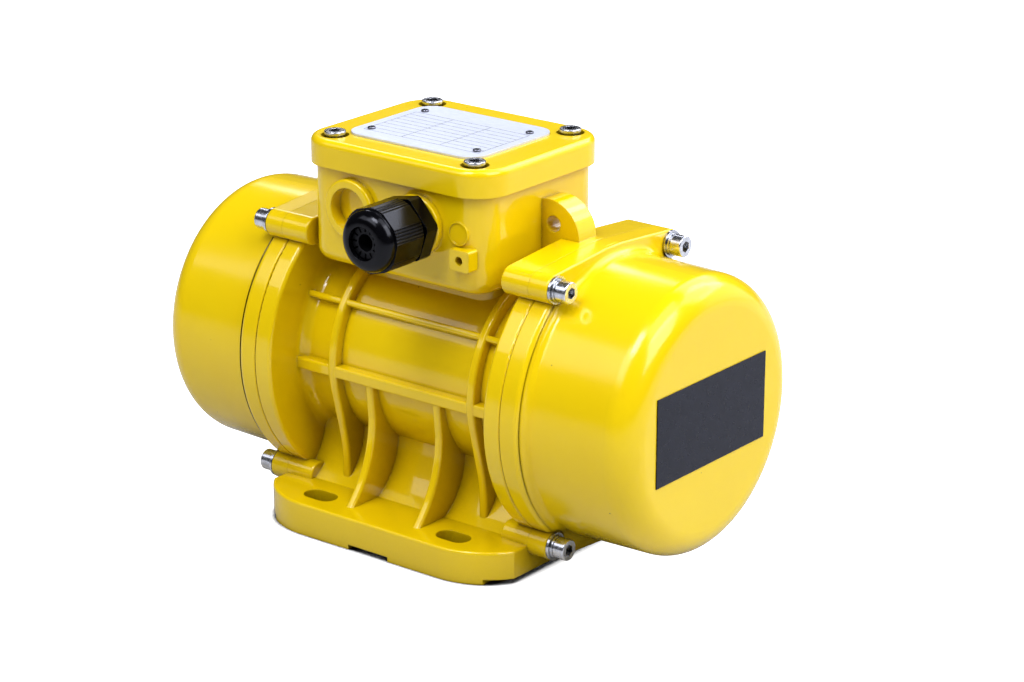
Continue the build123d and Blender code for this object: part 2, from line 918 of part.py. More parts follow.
def shaft():
    """Stepped shaft with bearing seats, key seats and clip grooves."""
    groove_radius = shaft_end_radius - clip_groove_depth
    end_point = shaft_half_length - shaft_chamfer
    right = [
        (core_seat_half_length, shaft_core_radius),
        (core_seat_half_length, shaft_shoulder_radius),
        (bearing_x, shaft_shoulder_radius),
        (bearing_x, bearing_bore_radius),
        (half_body, bearing_bore_radius),
        (half_body, shaft_end_radius),
        (clip_x, shaft_end_radius),
        (clip_x, groove_radius),
        (clip_x + clip_thickness, groove_radius),
        (clip_x + clip_thickness, shaft_end_radius),
        (end_point, shaft_end_radius),
        (shaft_half_length, shaft_end_radius - shaft_chamfer),
        (shaft_half_length, 0),
    ]
    left = [(-x, radius) for x, radius in reversed(right)]
    bar = turned(right + left, [0] * (2 * len(right)))
    return bar - keyway(1) - keyway(-1)


def weight_face():
    """Hub and sector of an eccentric weight, hanging down, in the plane across the shaft."""
    half = math.radians(weight_half_angle)
    left_end = (-weight_radius * math.sin(half), -weight_radius * math.cos(half))
    right_end = (weight_radius * math.sin(half), -weight_radius * math.cos(half))
    rim = ThreePointArc(left_end, (0, -weight_radius), right_end)
    sides = Polyline(right_end, (0, 0), left_end)
    return make_face(rim.edges() + sides.edges()) + Circle(weight_hub_radius)


def fixed_weight():
    """Right-hand fixed weight with its keyed hub."""
    start = weight_x + fixed_hub_length
    weight = extrude(across(start) * weight_face(), amount=weight_thickness)
    weight += rod_x(weight_hub_radius - fixed_hub_step, weight_x, start)
    weight -= rod_x(shaft_end_radius, weight_x - past, start + weight_thickness + past)
    half = key_width / 2 + key_play
    weight -= block(
        weight_x - past,
        start + weight_thickness + past,
        -half,
        half,
        shaft_height,
        shaft_height + shaft_end_radius - key_depth + key_height + key_play,
    )
    return weight


def weight_key():
    """Parallel key of the right-hand fixed weight."""
    start = weight_x + fixed_hub_length
    half = key_width / 2
    base = shaft_height + shaft_end_radius - key_depth
    return block(start, start + key_length, -half, half, base, base + key_height)


def adjustable_weight():
    """Right-hand adjustable weight with a split clamp hub."""
    face = weight_face()
    face += Pos(0, clamp_height / 2) * Rectangle(2 * clamp_half_width, clamp_height)
    face -= Circle(shaft_end_radius + fit_play)
    face -= Pos(0, clamp_height / 2 + past) * Rectangle(clamp_slit, clamp_height + 2 * past)
    weight = extrude(across(adjust_x) * face, amount=weight_thickness)
    middle = adjust_x + weight_thickness / 2
    screw_z = shaft_height + clamp_screw_z
    head_seat = -clamp_half_width + clamp_screw_recess
    weight -= rod_y(screw_radius + thread_play, head_seat, clamp_half_width + past, middle, screw_z)
    weight -= rod_y(screw_head_radius + screw_play, -weight_radius, head_seat, middle, screw_z)
    return weight


def clamp_screw():
    """Clamp screw of the right-hand adjustable weight."""
    middle = adjust_x + weight_thickness / 2
    seat = -clamp_half_width + clamp_screw_recess
    place = Pos(middle, seat, shaft_height + clamp_screw_z) * Rot(90, 0, 0)
    return place * socket_screw(clamp_screw_length)


def shaft_clip():
    """Retaining ring in the right-hand shaft groove."""
    end = clip_x + clip_thickness
    top = shaft_height + clip_radius + past
    half = clip_opening / 2
    ring = ring_x(clip_radius, shaft_end_radius - clip_groove_depth, clip_x, end)
    return ring - block(clip_x - past, end + past, -half, half, shaft_height, top)


def terminal_lid():
    """Lid with a skirt over the box wall, counterbored corners and a flat top."""
    half_length = box_half_length + lid_overhang_x
    half_width = box_half_width + lid_overhang_y
    lid = rounded_block(half_length, half_width, lid_corner_radius, box_top - lid_skirt_drop, lid_top)
    lid = fillet(lid.edges().group_by(Axis.Z)[-1], lid_top_edge)
    lid -= rounded_block(
        box_half_length + lid_skirt_clearance,
        box_half_width + lid_skirt_clearance,
        box_corner_radius + lid_skirt_clearance,
        box_top - lid_skirt_drop - past,
        lid_underside,
    )
    lid -= rounded_block(
        box_half_length - lid_pocket_inset,
        box_half_width - lid_pocket_inset,
        lid_pocket_corner,
        lid_underside - past,
        lid_underside + lid_pocket_depth,
    )
    for x, y in lid_screw_places():
        lid -= rod_z(lid_counterbore_radius, lid_screw_seat, lid_top + past, x, y)
        lid -= rod_z(screw_radius + screw_play, lid_underside - past, lid_top, x, y)
    for x, y in rivet_places():
        lid -= rod_z(rivet_shank_radius, lid_top - rivet_length, lid_top + past, x, y)
    return lid


def lid_gasket():
    """Flat gasket between box wall and lid."""
    gasket = rounded_block(
        box_half_length - gasket_inset,
        box_half_width - gasket_inset,
        box_corner_radius - gasket_inset,
        box_top,
        lid_underside,
    )
    opening = rounded_block(
        box_half_length - box_wall,
        box_half_width - box_wall,
        box_corner_radius - box_wall,
        box_top - past,
        lid_underside + past,
    )
    for x, y in lid_screw_places():
        opening -= rod_z(box_boss_radius, box_top - past, lid_underside + past, x, y)
    gasket -= opening
    for x, y in lid_screw_places():
        gasket -= rod_z(screw_radius + screw_play, box_top - past, lid_underside + past, x, y)
    return gasket


def lid_screws():
    """Four socket screws in the lid."""
    return group([Pos(x, y, lid_screw_seat) * socket_screw(screw_length) for x, y in lid_screw_places()])


def rivet_places():
    """Centres of the nameplate rivets."""
    return [
        (plate_x + side * rivet_spacing_x / 2, box_y + hand * rivet_spacing_y / 2)
        for side in (1, -1)
        for hand in (1, -1)
    ]


def nameplate():
    """Bare metal plate on the lid."""
    outline = RectangleRounded(plate_length, plate_width, plate_corner_radius)
    plate = extrude(Pos(plate_x, box_y, lid_top) * outline, amount=plate_thickness)
    for x, y in rivet_places():
        plate -= rod_z(rivet_shank_radius, lid_top - past, lid_top + plate_thickness + past, x, y)
    return plate


def nameplate_rivets():
    """Four small rivets that hold the plate."""
    seat = lid_top + plate_thickness
    rivets = []
    for x, y in rivet_places():
        head = rod_z(rivet_head_radius, seat, seat + rivet_head_height, x, y)
        head = fillet(head.edges().group_by(Axis.Z)[-1], rivet_head_edge)
        rivets.append(head + rod_z(rivet_shank_radius, lid_top - rivet_length, seat, x, y))
    return group(rivets)


def end_label():
    """Bare black label on the right cover's end."""
    return block(
        half_total,
        half_total + label_thickness,
        label_y - label_length / 2,
        label_y + label_length / 2,
        label_z - label_height / 2,
        label_z + label_height / 2,
    )


def gland_plane(y):
    """Plane across the gland at y, facing out of the box."""
    return Plane(origin=(gland_x, y, entry_z), x_dir=(1, 0, 0), z_dir=(0, -1, 0))


def gland_tube(radius, y_start, y_end):
    """Round bar on the gland's line from y_start to the lower y_end."""
    return rod_y(radius, y_end, y_start, gland_x, entry_z)


def gland_hexagon(flats, turn):
    """Hexagon in the gland's plane, given across its flats and turned about the gland."""
    return Rot(0, 0, turn) * RegularPolygon(flats / 2, hexagon_sides, major_radius=False)


def gland_washer():
    """Flat seal between the gland and its boss."""
    washer = gland_tube(gland_washer_radius, entry_face_y, gland_hex_y)
    return washer - gland_tube(gland_thread_radius, entry_face_y + past, gland_hex_y - past)


def gland_body():
    """Threaded gland body with its hexagon and clamp neck."""
    tip_y = gland_neck_y - gland_neck_length
    thread_end_y = gland_hex_y + gland_thread_length
    hexagon = gland_hexagon(gland_hex_flats, gland_hex_turn) & Circle(gland_hex_corner_radius)
    body = extrude(gland_plane(gland_hex_y) * hexagon, amount=gland_hex_length)
    body += gland_tube(gland_thread_radius, thread_end_y, gland_hex_y)
    body += gland_tube(gland_neck_radius, gland_neck_y, tip_y)
    return body - gland_tube(gland_passage_radius, thread_end_y + past, tip_y - past)


def grip_face():
    """Grip of the clamp nut: a circle with six flats and fine grooves on the corners between them."""
    face = gland_hexagon(gland_grip_flats, gland_grip_turn) & Circle(gland_grip_radius)
    groove = Pos(gland_grip_radius, 0) * Rot(0, 0, 45) * Rectangle(gland_grip_depth, gland_grip_depth)
    first = gland_grip_turn - gland_grip_pitch * (gland_grip_grooves - 1) / 2
    for corner in range(hexagon_sides):
        for index in range(gland_grip_grooves):
            turn = 360 * corner / hexagon_sides + first + index * gland_grip_pitch
            face -= Rot(0, 0, turn) * groove
    return face


def gland_nut():
    """Domed clamp nut with a grooved grip."""
    nut = gland_tube(gland_nut_dome_radius, gland_nut_y, gland_tip_y)
    nut = fillet(nut.edges().group_by(Axis.Y)[0], gland_nut_dome_edge)
    nut += extrude(gland_plane(gland_nut_y) * grip_face(), amount=gland_grip_length)
    neck_bore = gland_neck_radius + gland_neck_play
    nut -= gland_tube(neck_bore, gland_nut_y + past, gland_nut_y - gland_neck_length)
    return nut - gland_tube(gland_mouth_radius, gland_nut_y, gland_tip_y - past)


def gland_seal():
    """Rubber insert that closes on a cable, notched round its front face."""
    front_y = gland_tip_y + gland_seal_recess
    radius = gland_mouth_radius - gland_seal_play
    seal = gland_tube(radius, gland_hex_y, front_y)
    seal -= gland_tube(gland_bore_radius, gland_hex_y + past, front_y - past)
    start = gland_bore_radius + seal_notch_margin
    length = radius - start + past
    notch = Pos(start + length / 2, 0) * Rectangle(length, seal_notch_width)
    notches = Sketch()
    for index in range(seal_notch_count):
        notches += Rot(0, 0, 360 * index / seal_notch_count) * notch
    return seal - extrude(gland_plane(front_y + seal_notch_depth) * notches, amount=seal_notch_depth + past)


def gland_locknut():
    """Nut on the gland thread inside the box."""
    near_y = box_near_y + box_wall
    far_y = near_y + locknut_thickness
    nut = extrude(gland_plane(far_y) * gland_hexagon(locknut_flats, 0), amount=locknut_thickness)
    return nut - gland_tube(gland_thread_radius, far_y + past, near_y - past)


def block_top():
    """Height of the top of the terminal block."""
    return floor_top + block_pillar_height + block_thickness


def stud_places():
    """Centres of the six terminal studs."""
    return [
        (box_x + column * stud_spacing_x, box_y + row * stud_spacing_y / 2)
        for column in stud_columns
        for row in (-1, 1)
    ]


def block_screw_places():
    """Centres of the two screws of the terminal block."""
    return [(box_x + side * block_pillar_spacing / 2, box_y) for side in (-1, 1)]


def terminal_block():
    """Moulded terminal block on two pillars."""
    base = floor_top + block_pillar_height
    outline = Pos(box_x, box_y, base) * RectangleRounded(block_length, block_width, block_pillar_radius)
    body = extrude(outline, amount=block_thickness)
    for x, y in block_screw_places():
        body += rod_z(block_pillar_radius, floor_top, base, x, y)
        body -= rod_z(block_screw_radius, floor_top - past, block_top() + past, x, y)
    for x, y in stud_places():
        body -= rod_z(stud_radius, base - past, block_top() + past, x, y)
    return body


def terminal_studs():
    """Six threaded studs."""
    base = floor_top + block_pillar_height
    return group([rod_z(stud_radius, base, block_top() + stud_height, x, y) for x, y in stud_places()])


def terminal_links():
    """Links that join each pair of studs."""
    links = []
    length = stud_spacing_y + 2 * link_margin
    strip = SlotOverall(length, 2 * link_margin, rotation=90)
    for column in stud_columns:
        place = Pos(box_x + column * stud_spacing_x, box_y, block_top())
        link = extrude(place * strip, amount=link_thickness)
        for x, y in stud_places():
            link -= rod_z(stud_radius, block_top() - past, block_top() + link_thickness + past, x, y)
        links.append(link)
    return group(links)


def terminal_nuts():
    """Six nuts on the studs."""
    base = block_top() + link_thickness
    nuts = []
    hexagon = RegularPolygon(terminal_nut_flats / 2, hexagon_sides, major_radius=False)
    for x, y in stud_places():
        nut = extrude(Pos(x, y, base) * hexagon, amount=terminal_nut_height)
        nuts.append(nut - rod_z(stud_radius, base - past, base + terminal_nut_height + past, x, y))
    return group(nuts)


def block_screws():
    """Two screws through the terminal block into its pillars."""
    screws = []
    for x, y in block_screw_places():
        head = rod_z(block_screw_head_radius, block_top(), block_top() + block_screw_head_height, x, y)
        screws.append(head + rod_z(block_screw_radius, block_top() - block_screw_length, block_top(), x, y))
    return group(screws)


def both_ends(name, piece):
    """The right-hand piece and its mirror image, named by side."""
    return {"right_" + name: piece, "left_" + name: mirrored(piece)}


def all_pieces():
    """Every sub-part by name."""
    pieces = {
        "motor_frame": motor_frame(),
        "stator_core": stator_core(),
        "stator_windings": stator_windings(),
        "shaft": shaft(),
        "rotor_core": rotor_core(),
        "rotor_cage": rotor_cage(),
        "cover_screws": at_lugs(socket_screw(screw_length), screw_seat_x),
        "cover_washers": at_lugs(flat_washer(), washer_x),
        "cover_spring_washers": at_lugs(cut_washer(), spring_washer_x),
        "right_cover_seal": seal_ring(1),
        "left_cover_seal": seal_ring(-1),
        "end_label": end_label(),
        "terminal_lid": terminal_lid(),
        "lid_gasket": lid_gasket(),
        "lid_screws": lid_screws(),
        "nameplate": nameplate(),
        "nameplate_rivets": nameplate_rivets(),
        "terminal_block": terminal_block(),
        "terminal_studs": terminal_studs(),
        "terminal_links": terminal_links(),
        "terminal_nuts": terminal_nuts(),
        "block_screws": block_screws(),
        "gland_washer": gland_washer(),
        "gland_body": gland_body(),
        "gland_nut": gland_nut(),
        "gland_seal": gland_seal(),
        "gland_locknut": gland_locknut(),
    }
    pieces.update(both_ends("cover", end_cover()))
    pieces.update(both_ends("bearing_flange", bearing_flange()))
    pieces.update(both_ends("bearing_outer_ring", bearing_outer_ring()))
    pieces.update(both_ends("bearing_inner_ring", bearing_inner_ring()))
    pieces.update(both_ends("bearing_balls", bearing_balls()))
    pieces.update(both_ends("bearing_cage", bearing_cage()))
    pieces.update(both_ends("fixed_weight", fixed_weight()))
    pieces.update(both_ends("weight_key", weight_key()))
    pieces.update(both_ends("adjustable_weight", adjustable_weight()))
    pieces.update(both_ends("clamp_screw", clamp_screw()))
    pieces.update(both_ends("shaft_clip", shaft_clip()))
    return pieces


os.makedirs("parts", exist_ok=True)
for name, piece in all_pieces().items():
    export_step(piece, os.path.join("parts", name + ".step"))
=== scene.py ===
import math

import bmesh
import bpy
from mathutils import Matrix, Vector


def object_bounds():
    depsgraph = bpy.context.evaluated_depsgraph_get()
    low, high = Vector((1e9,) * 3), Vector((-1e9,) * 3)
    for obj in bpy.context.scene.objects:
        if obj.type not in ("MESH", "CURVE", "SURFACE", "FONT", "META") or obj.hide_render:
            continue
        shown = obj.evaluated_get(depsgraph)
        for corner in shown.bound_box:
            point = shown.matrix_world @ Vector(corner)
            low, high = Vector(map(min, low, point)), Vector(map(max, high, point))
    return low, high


MM = 0.001

# Camera in degrees and millimetres, from the view solved on the photograph
CAMERA_AZIMUTH = 38.0
CAMERA_ELEVATION = 19.16
CAMERA_ROLL = 0.12
CAMERA_OFFSET = (-16.66, -67.25, -1254.02)
CAMERA_LENS = 108.64
SENSOR_WIDTH = 36.0

# White studio: strength of its light on matt surfaces and in reflections, and the view settings
WHITE = (1, 1, 1, 1)
AMBIENT = 0.2
AMBIENT_GLOSS = 0.07
VIEW_TRANSFORM = "Standard"
VIEW_LOOK = "Medium High Contrast"

# Floor: its size, its gap below the foot, and its glow, which only the camera sees
FLOOR_SIZE = 4.0
FLOOR_GAP = 0.02 * MM
FLOOR_COLOR = (0.55, 0.55, 0.55, 1)
FLOOR_ROUGHNESS = 0.6
FLOOR_GLOW = 1.0

# Lights: name, azimuth from +X and elevation in degrees, edge in metres, power in watts
LIGHT_TARGET = (0, 0, 0.08)
LIGHT_DISTANCE = 1.5
LIGHT_COLOR = (0.97, 1.0, 1.14)
LIGHTS = (
    ("right", 0, 40, 0.9, 10.2),
    ("right_high", 0, 65, 0.9, 4.9),
    ("right_back", 60, 40, 0.9, 6.2),
    ("back", 90, 45, 0.9, 5.0),
    ("back_low", 60, 15, 0.9, 2.2),
    ("left_back", 135, 34, 0.35, 1.2),
    ("front", 256, 45, 0.7, 4.1),
    ("front_high", 268, 64, 0.5, 7.4),
    ("front_left", 226, 38, 0.6, 1.6),
)

# Colours of the enamel, of its painted shade in creases, hollows and seams, of the dark painted shade in
# sockets and where the floor meets the foot, of dirt specks and of tarnish
YELLOW = (0.85, 0.605, 0.003, 1)
YELLOW_DEEP = (0.8, 0.545, 0.002, 1)
PAINTED_CREASE_COLOR = (0.4, 0.25, 0.002, 1)
PAINTED_HOLLOW_COLOR = (0.34, 0.245, 0.002, 1)
PAINTED_SEAM_COLOR = (0.13, 0.08, 0.004, 1)
PAINTED_DARK_SHADE = (0.015, 0.014, 0.013, 1)
SPECK = (0.09, 0.055, 0.01, 1)
TARNISH = (0.22, 0.22, 0.23, 1)

# Shade in closed-in places: reach, openness where it is full and where it ends, and its share at full
HOLLOW_SHADE = (32 * MM, 0.12, 0.55, 1.0)
CREASE_SHADE = (4 * MM, 0.2, 0.65, 0.5)
SOCKET_SHADE = (3 * MM, 0.3, 0.75, 0.97)
CONTACT_SHADE = (5 * MM, 0.52, 0.8, 1.0)
SEAM_REACH = 1.2 * MM
SEAM_FULL = 0.2
SEAM_SHARE = 0.9
SHADE_SAMPLES = 4

# Height over which the painted shade of hollows fades, with its share below and above
HOLLOW_FADE = (45 * MM, 90 * MM, 0.95, 0.3)

# Patches by noise: scale, detail, noise from and to, result from and to
ENAMEL_TONE = (38, 4, 0.35, 0.7, 0.0, 0.35)
ENAMEL_SHEEN = (60, 5, 0.3, 0.7, 0.15, 0.23)
SEAM_BREAKS = (45, 4, 0.4, 0.62, 0.3, 0.95)
SPECK_PATCHES = (120, 2, 0.66, 0.69, 0.0, 1.0)
TARNISH_PATCHES = (350, 3, 0.45, 0.8, 0.0, 0.45)
MOULDED_PATCHES = (250, 3, 0.4, 0.8, 0.0, 0.5)
CAST_PATCHES = (140, 5, 0.35, 0.75, 0.0, 1.0)
LINE_WEAR = (800, 2, 0.3, 0.6, 0.5, 1.0)

# The same without the result, which follows the roughness of the material
TOOL_MARKS = (900, 4, 0.3, 0.75)
MOULDED_MARKS = (500, 3, 0.3, 0.7)

# Relief by noise: scale, detail, depth and strength
PEEL_RELIEF = (420, 2, 0.05 * MM, 0.5)
TOOL_RELIEF = (1600, 2, 0.015 * MM, 0.6)
CAST_RELIEF = (700, 4, 0.04 * MM, 0.7)

# Relief whose depth is the material's own: scale and detail
WAVE_NOISE = (90, 3)
GRAIN_NOISE = (1400, 2)
RELIEF_STRENGTH = 0.6

# Specks of the enamel: scale of their pattern, and distance from the middle of a speck to its rim
SPECK_SCALE = 260.0
SPECK_RIM = (0.05, 0.09)

# Rounding of edges
METAL_EDGE = 0.15 * MM
MOULDED_EDGE = 0.2 * MM
PLATE_EDGE = 0.2 * MM
EDGE_SAMPLES = 6

# Bands of stacked sheets and laid wire
BAND_SHARE = 0.6
BAND_DEPTH = 0.05 * MM
BAND_WAVER = 0.4

# Nameplate
PLATE_COLOR = (0.74, 0.77, 0.83, 1)
PLATE_DULL = (0.62, 0.65, 0.71, 1)
PLATE_LINE = (0.1, 0.1, 0.13, 1)
PLATE_GRAIN = (300, 3)
PLATE_STRETCH = (1, 14, 1)
PLATE_DEPTH = 0.02 * MM

# Empty ruled table on the nameplate: middle and half length of its rows, their levels, and its posts
ROW_MIDDLE = -5.7 * MM
ROW_HALF = 28.5 * MM
ROW_TOP = 8.5 * MM
ROW_PITCH = 4 * MM
ROW_COUNT = 9
POST_PLACES = (-34.2 * MM, -15.1 * MM, 3.8 * MM, 22.8 * MM)
LINE_HALF = 0.18 * MM


def both(*names):
    """Names of the nodes that the left and the right side each have."""
    return [side + "_" + name for side in ("left", "right") for name in names]


# Enamels: name, wave depth, rounding of edges, openness where the painted seam shade ends, coat, coat
# roughness, nodes
ENAMELS = (
    ("enamel_rough", 0.25 * MM, 0.8 * MM, 0.55, 0.95, 0.05, ["motor_frame"]),
    ("enamel_smooth", 0.06 * MM, 0.6 * MM, 0.74, 0.7, 0.17, ["terminal_lid", *both("cover")]),
)

# Bright metals: name, colour, roughness, nodes
SCREWS = ["cover_screws", "cover_washers", "cover_spring_washers", "lid_screws", "block_screws"]
BEARINGS = both("bearing_outer_ring", "bearing_inner_ring", "bearing_balls")
PLATED = (
    ("bright_screws", (0.75, 0.76, 0.78, 1), 0.22, [*SCREWS, *both("clamp_screw")]),
    ("turned_steel", (0.56, 0.57, 0.6, 1), 0.3, ["shaft", *both("weight_key", "bearing_cage")]),
    ("spring_steel", (0.2, 0.2, 0.22, 1), 0.35, both("shaft_clip")),
    ("ground_steel", (0.8, 0.81, 0.84, 1), 0.1, BEARINGS),
    ("plain_brass", (0.78, 0.57, 0.22, 1), 0.28, ["terminal_studs", "terminal_links", "terminal_nuts"]),
    ("dark_rivets", (0.3, 0.3, 0.33, 1), 0.16, ["nameplate_rivets"]),
)

# Cast metals: name, colour, roughness, nodes
CAST = (
    ("grey_iron", (0.25, 0.25, 0.26, 1), 0.5, both("bearing_flange", "fixed_weight", "adjustable_weight")),
    ("bare_aluminium", (0.7, 0.71, 0.73, 1), 0.4, ["rotor_cage"]),
)

# Stacked sheets and laid wire: name, colour, width of a band, nodes
LAYERED = (
    ("lamination", (0.3, 0.31, 0.34, 1), 0.5 * MM, ["stator_core", "rotor_core"]),
    ("copper_wire", (0.75, 0.32, 0.12, 1), 0.8 * MM, ["stator_windings"]),
)

# Plastic, rubber and film: name, colour, roughness, grain depth, nodes
RUBBERS = ["gland_seal", "gland_washer", "lid_gasket", *both("cover_seal")]
MOULDED = (
    ("black_rubber", (0.006, 0.006, 0.007, 1), 0.4, 0.05 * MM, RUBBERS),
    ("black_nylon", (0.002, 0.002, 0.003, 1), 0.17, 0.02 * MM, ["gland_body", "gland_nut", "gland_locknut"]),
    ("black_moulding", (0.012, 0.012, 0.012, 1), 0.5, 0.04 * MM, ["terminal_block"]),
    ("black_film", (0.009, 0.01, 0.016, 1), 0.3, 0.015 * MM, ["end_label"]),
)


def node(tree, kind, **values):
    """A new shader node with its settings and unlinked inputs."""
    made = tree.nodes.new(kind)
    for key, value in values.items():
        if key in made.inputs:
            made.inputs[key].default_value = value
        else:
            setattr(made, key, value)
    return made


def link(tree, source, target):
    """Joins an output to an input."""
    tree.links.new(source, target)


def material(name, color, metallic=0.0, roughness=0.5, **sockets):
    """A Principled material, its tree and its shader."""
    made = bpy.data.materials.new(name)
    made.use_nodes = True
    tree = made.node_tree
    shader = tree.nodes["Principled BSDF"]
    shader.inputs["Base Color"].default_value = color
    shader.inputs["Metallic"].default_value = metallic
    shader.inputs["Roughness"].default_value = roughness
    for key, value in sockets.items():
        shader.inputs[key.replace("_", " ")].default_value = value
    return made, tree, shader


def place(tree, scale=(1, 1, 1)):
    """Object coordinates, scaled."""
    coordinates = node(tree, "ShaderNodeTexCoord")
    mapping = node(tree, "ShaderNodeMapping", Scale=scale)
    link(tree, coordinates.outputs["Object"], mapping.inputs["Vector"])
    return mapping.outputs["Vector"]


def split_place(tree):
    """A node that gives X, Y and Z of the object coordinates."""
    split = node(tree, "ShaderNodeSeparateXYZ")
    link(tree, place(tree), split.inputs["Vector"])
    return split


def noise(tree, scale, detail, stretch=(1, 1, 1)):
    """Noise with features about 1/scale metres long."""
    made = node(tree, "ShaderNodeTexNoise", Scale=scale, Detail=detail)
    link(tree, place(tree, stretch), made.inputs["Vector"])
    return made.outputs["Fac"]


def ramp(tree, value, low, high, start=0.0, end=1.0):
    """A value remapped from low..high to start..end, clamped."""
    made = node(tree, "ShaderNodeMapRange", clamp=True)
    made.inputs["From Min"].default_value = low
    made.inputs["From Max"].default_value = high
    made.inputs["To Min"].default_value = start
    made.inputs["To Max"].default_value = end
    link(tree, value, made.inputs["Value"])
    return made.outputs["Result"]


def patches(tree, scale, detail, low, high, start, end):
    """Noise remapped from low..high to start..end."""
    return ramp(tree, noise(tree, scale, detail), low, high, start, end)


def combine(tree, operation, first, second):
    """Math node on two sockets."""
    made = node(tree, "ShaderNodeMath", operation=operation)
    link(tree, first, made.inputs[0])
    link(tree, second, made.inputs[1])
    return made.outputs[0]


def within(tree, value, middle, half):
    """One where a value is within half of middle, else nothing."""
    made = node(tree, "ShaderNodeMath", operation="COMPARE")
    made.inputs[1].default_value = middle
    made.inputs[2].default_value = half
    link(tree, value, made.inputs[0])
    return made.outputs[0]


def blend_colors(tree, factor, first, second):
    """Mix of two colours or colour sockets."""
    made = node(tree, "ShaderNodeMix", data_type="RGBA")
    link(tree, factor, made.inputs[0])
    for value, socket in ((first, made.inputs[6]), (second, made.inputs[7])):
        if isinstance(value, tuple):
            socket.default_value = value
        else:
            link(tree, value, socket)
    return made.outputs[2]


def times(color, share):
    """A colour with its channels times a share, opaque."""
    return tuple(share * channel for channel in color[:3]) + (1,)


def bump(tree, height, distance, strength, normal=None):
    """Bump from a height, with its depth in metres."""
    made = node(tree, "ShaderNodeBump", Distance=distance, Strength=strength)
    link(tree, height, made.inputs["Height"])
    if normal is not None:
        link(tree, normal, made.inputs["Normal"])
    return made.outputs["Normal"]


def relief(tree, scale, detail, depth, strength, normal=None):
    """Bump from noise."""
    return bump(tree, noise(tree, scale, detail), depth, strength, normal)


def closed_in(tree, reach, low, high, most):
    """How much what lies within reach closes a point in: most in a narrow gap, nothing in the open."""
    made = node(tree, "ShaderNodeAmbientOcclusion", samples=SHADE_SAMPLES, Distance=reach)
    return ramp(tree, made.outputs["AO"], low, high, most, 0.0)


def soft_edges(tree, radius):
    """Normals rounded over the edges."""
    made = node(tree, "ShaderNodeBevel", samples=EDGE_SAMPLES, Radius=radius)
    return made.outputs["Normal"]


def shaded_enamel(tree, seam_shade_end):
    """Colour of the enamel: its tone, with painted shade in hollows between ribs (stronger low down), in
    corners and in seams.
    """
    tint = blend_colors(tree, patches(tree, *ENAMEL_TONE), YELLOW, YELLOW_DEEP)
    # Painted shade in the hollows between ribs, fading out higher up
    low_down = ramp(tree, split_place(tree).outputs["Z"], *HOLLOW_FADE)
    painted_hollow_shade = combine(tree, "MULTIPLY", closed_in(tree, *HOLLOW_SHADE), low_down)
    tint = blend_colors(tree, painted_hollow_shade, tint, PAINTED_HOLLOW_COLOR)
    # Painted shade in corners and creases
    tint = blend_colors(tree, closed_in(tree, *CREASE_SHADE), tint, PAINTED_CREASE_COLOR)
    # Thin painted shade lines in seams and inner corners, broken up by noise
    unbroken_seam_shade = closed_in(tree, SEAM_REACH, SEAM_FULL, seam_shade_end, SEAM_SHARE)
    painted_seam_shade = combine(tree, "MULTIPLY", unbroken_seam_shade, patches(tree, *SEAM_BREAKS))
    return blend_colors(tree, painted_seam_shade, tint, PAINTED_SEAM_COLOR)


def specks(tree):
    """Factor of a few small dark specks."""
    dots = node(tree, "ShaderNodeTexVoronoi", Scale=SPECK_SCALE)
    link(tree, place(tree), dots.inputs["Vector"])
    near = ramp(tree, dots.outputs["Distance"], *SPECK_RIM, 1.0, 0.0)
    return combine(tree, "MULTIPLY", near, patches(tree, *SPECK_PATCHES))


def enamel(name, wave_depth, edge, seam_shade_end, shine, shine_roughness):
    """Glossy yellow enamel over a casting, with orange peel, painted shade in its corners, hollows and
    seams, and a few specks.
    """
    coating = {"Coat_Weight": shine, "Coat_Roughness": shine_roughness}
    made, tree, shader = material(name, YELLOW, Specular_IOR_Level=0.25, **coating)
    tint = blend_colors(tree, specks(tree), shaded_enamel(tree, seam_shade_end), SPECK)
    link(tree, tint, shader.inputs["Base Color"])
    link(tree, patches(tree, *ENAMEL_SHEEN), shader.inputs["Roughness"])
    peel = relief(tree, *PEEL_RELIEF, soft_edges(tree, edge))
    waves = relief(tree, *WAVE_NOISE, wave_depth, RELIEF_STRENGTH, peel)
    link(tree, waves, shader.inputs["Normal"])
    return made


def plated(name, color, roughness):
    """Bright plated or turned metal with fine tool marks, tarnish and painted shade in sockets."""
    made, tree, shader = material(name, color, metallic=1.0, roughness=roughness)
    marks = patches(tree, *TOOL_MARKS, roughness * 0.75, roughness * 1.5)
    link(tree, marks, shader.inputs["Roughness"])
    shade = blend_colors(tree, patches(tree, *TARNISH_PATCHES), color, TARNISH)
    # Painted shade in sockets and recesses
    shade = blend_colors(tree, closed_in(tree, *SOCKET_SHADE), shade, PAINTED_DARK_SHADE)
    link(tree, shade, shader.inputs["Base Color"])
    link(tree, relief(tree, *TOOL_RELIEF, soft_edges(tree, METAL_EDGE)), shader.inputs["Normal"])
    return made


def moulded(name, color, roughness, grain_depth):
    """Moulded plastic, rubber or film."""
    made, tree, shader = material(name, color, roughness=roughness, Specular_IOR_Level=0.35)
    shade = blend_colors(tree, patches(tree, *MOULDED_PATCHES), color, times(color, 2.0))
    link(tree, shade, shader.inputs["Base Color"])
    marks = patches(tree, *MOULDED_MARKS, roughness * 0.85, roughness * 1.2)
    link(tree, marks, shader.inputs["Roughness"])
    grain = relief(tree, *GRAIN_NOISE, grain_depth, RELIEF_STRENGTH, soft_edges(tree, MOULDED_EDGE))
    link(tree, grain, shader.inputs["Normal"])
    return made


def cast_metal(name, color, roughness):
    """Machined or cast metal with a coarse grain."""
    made, tree, shader = material(name, color, metallic=0.85, roughness=roughness)
    shade = blend_colors(tree, patches(tree, *CAST_PATCHES), color, times(color, 0.6))
    link(tree, shade, shader.inputs["Base Color"])
    link(tree, relief(tree, *CAST_RELIEF), shader.inputs["Normal"])
    return made


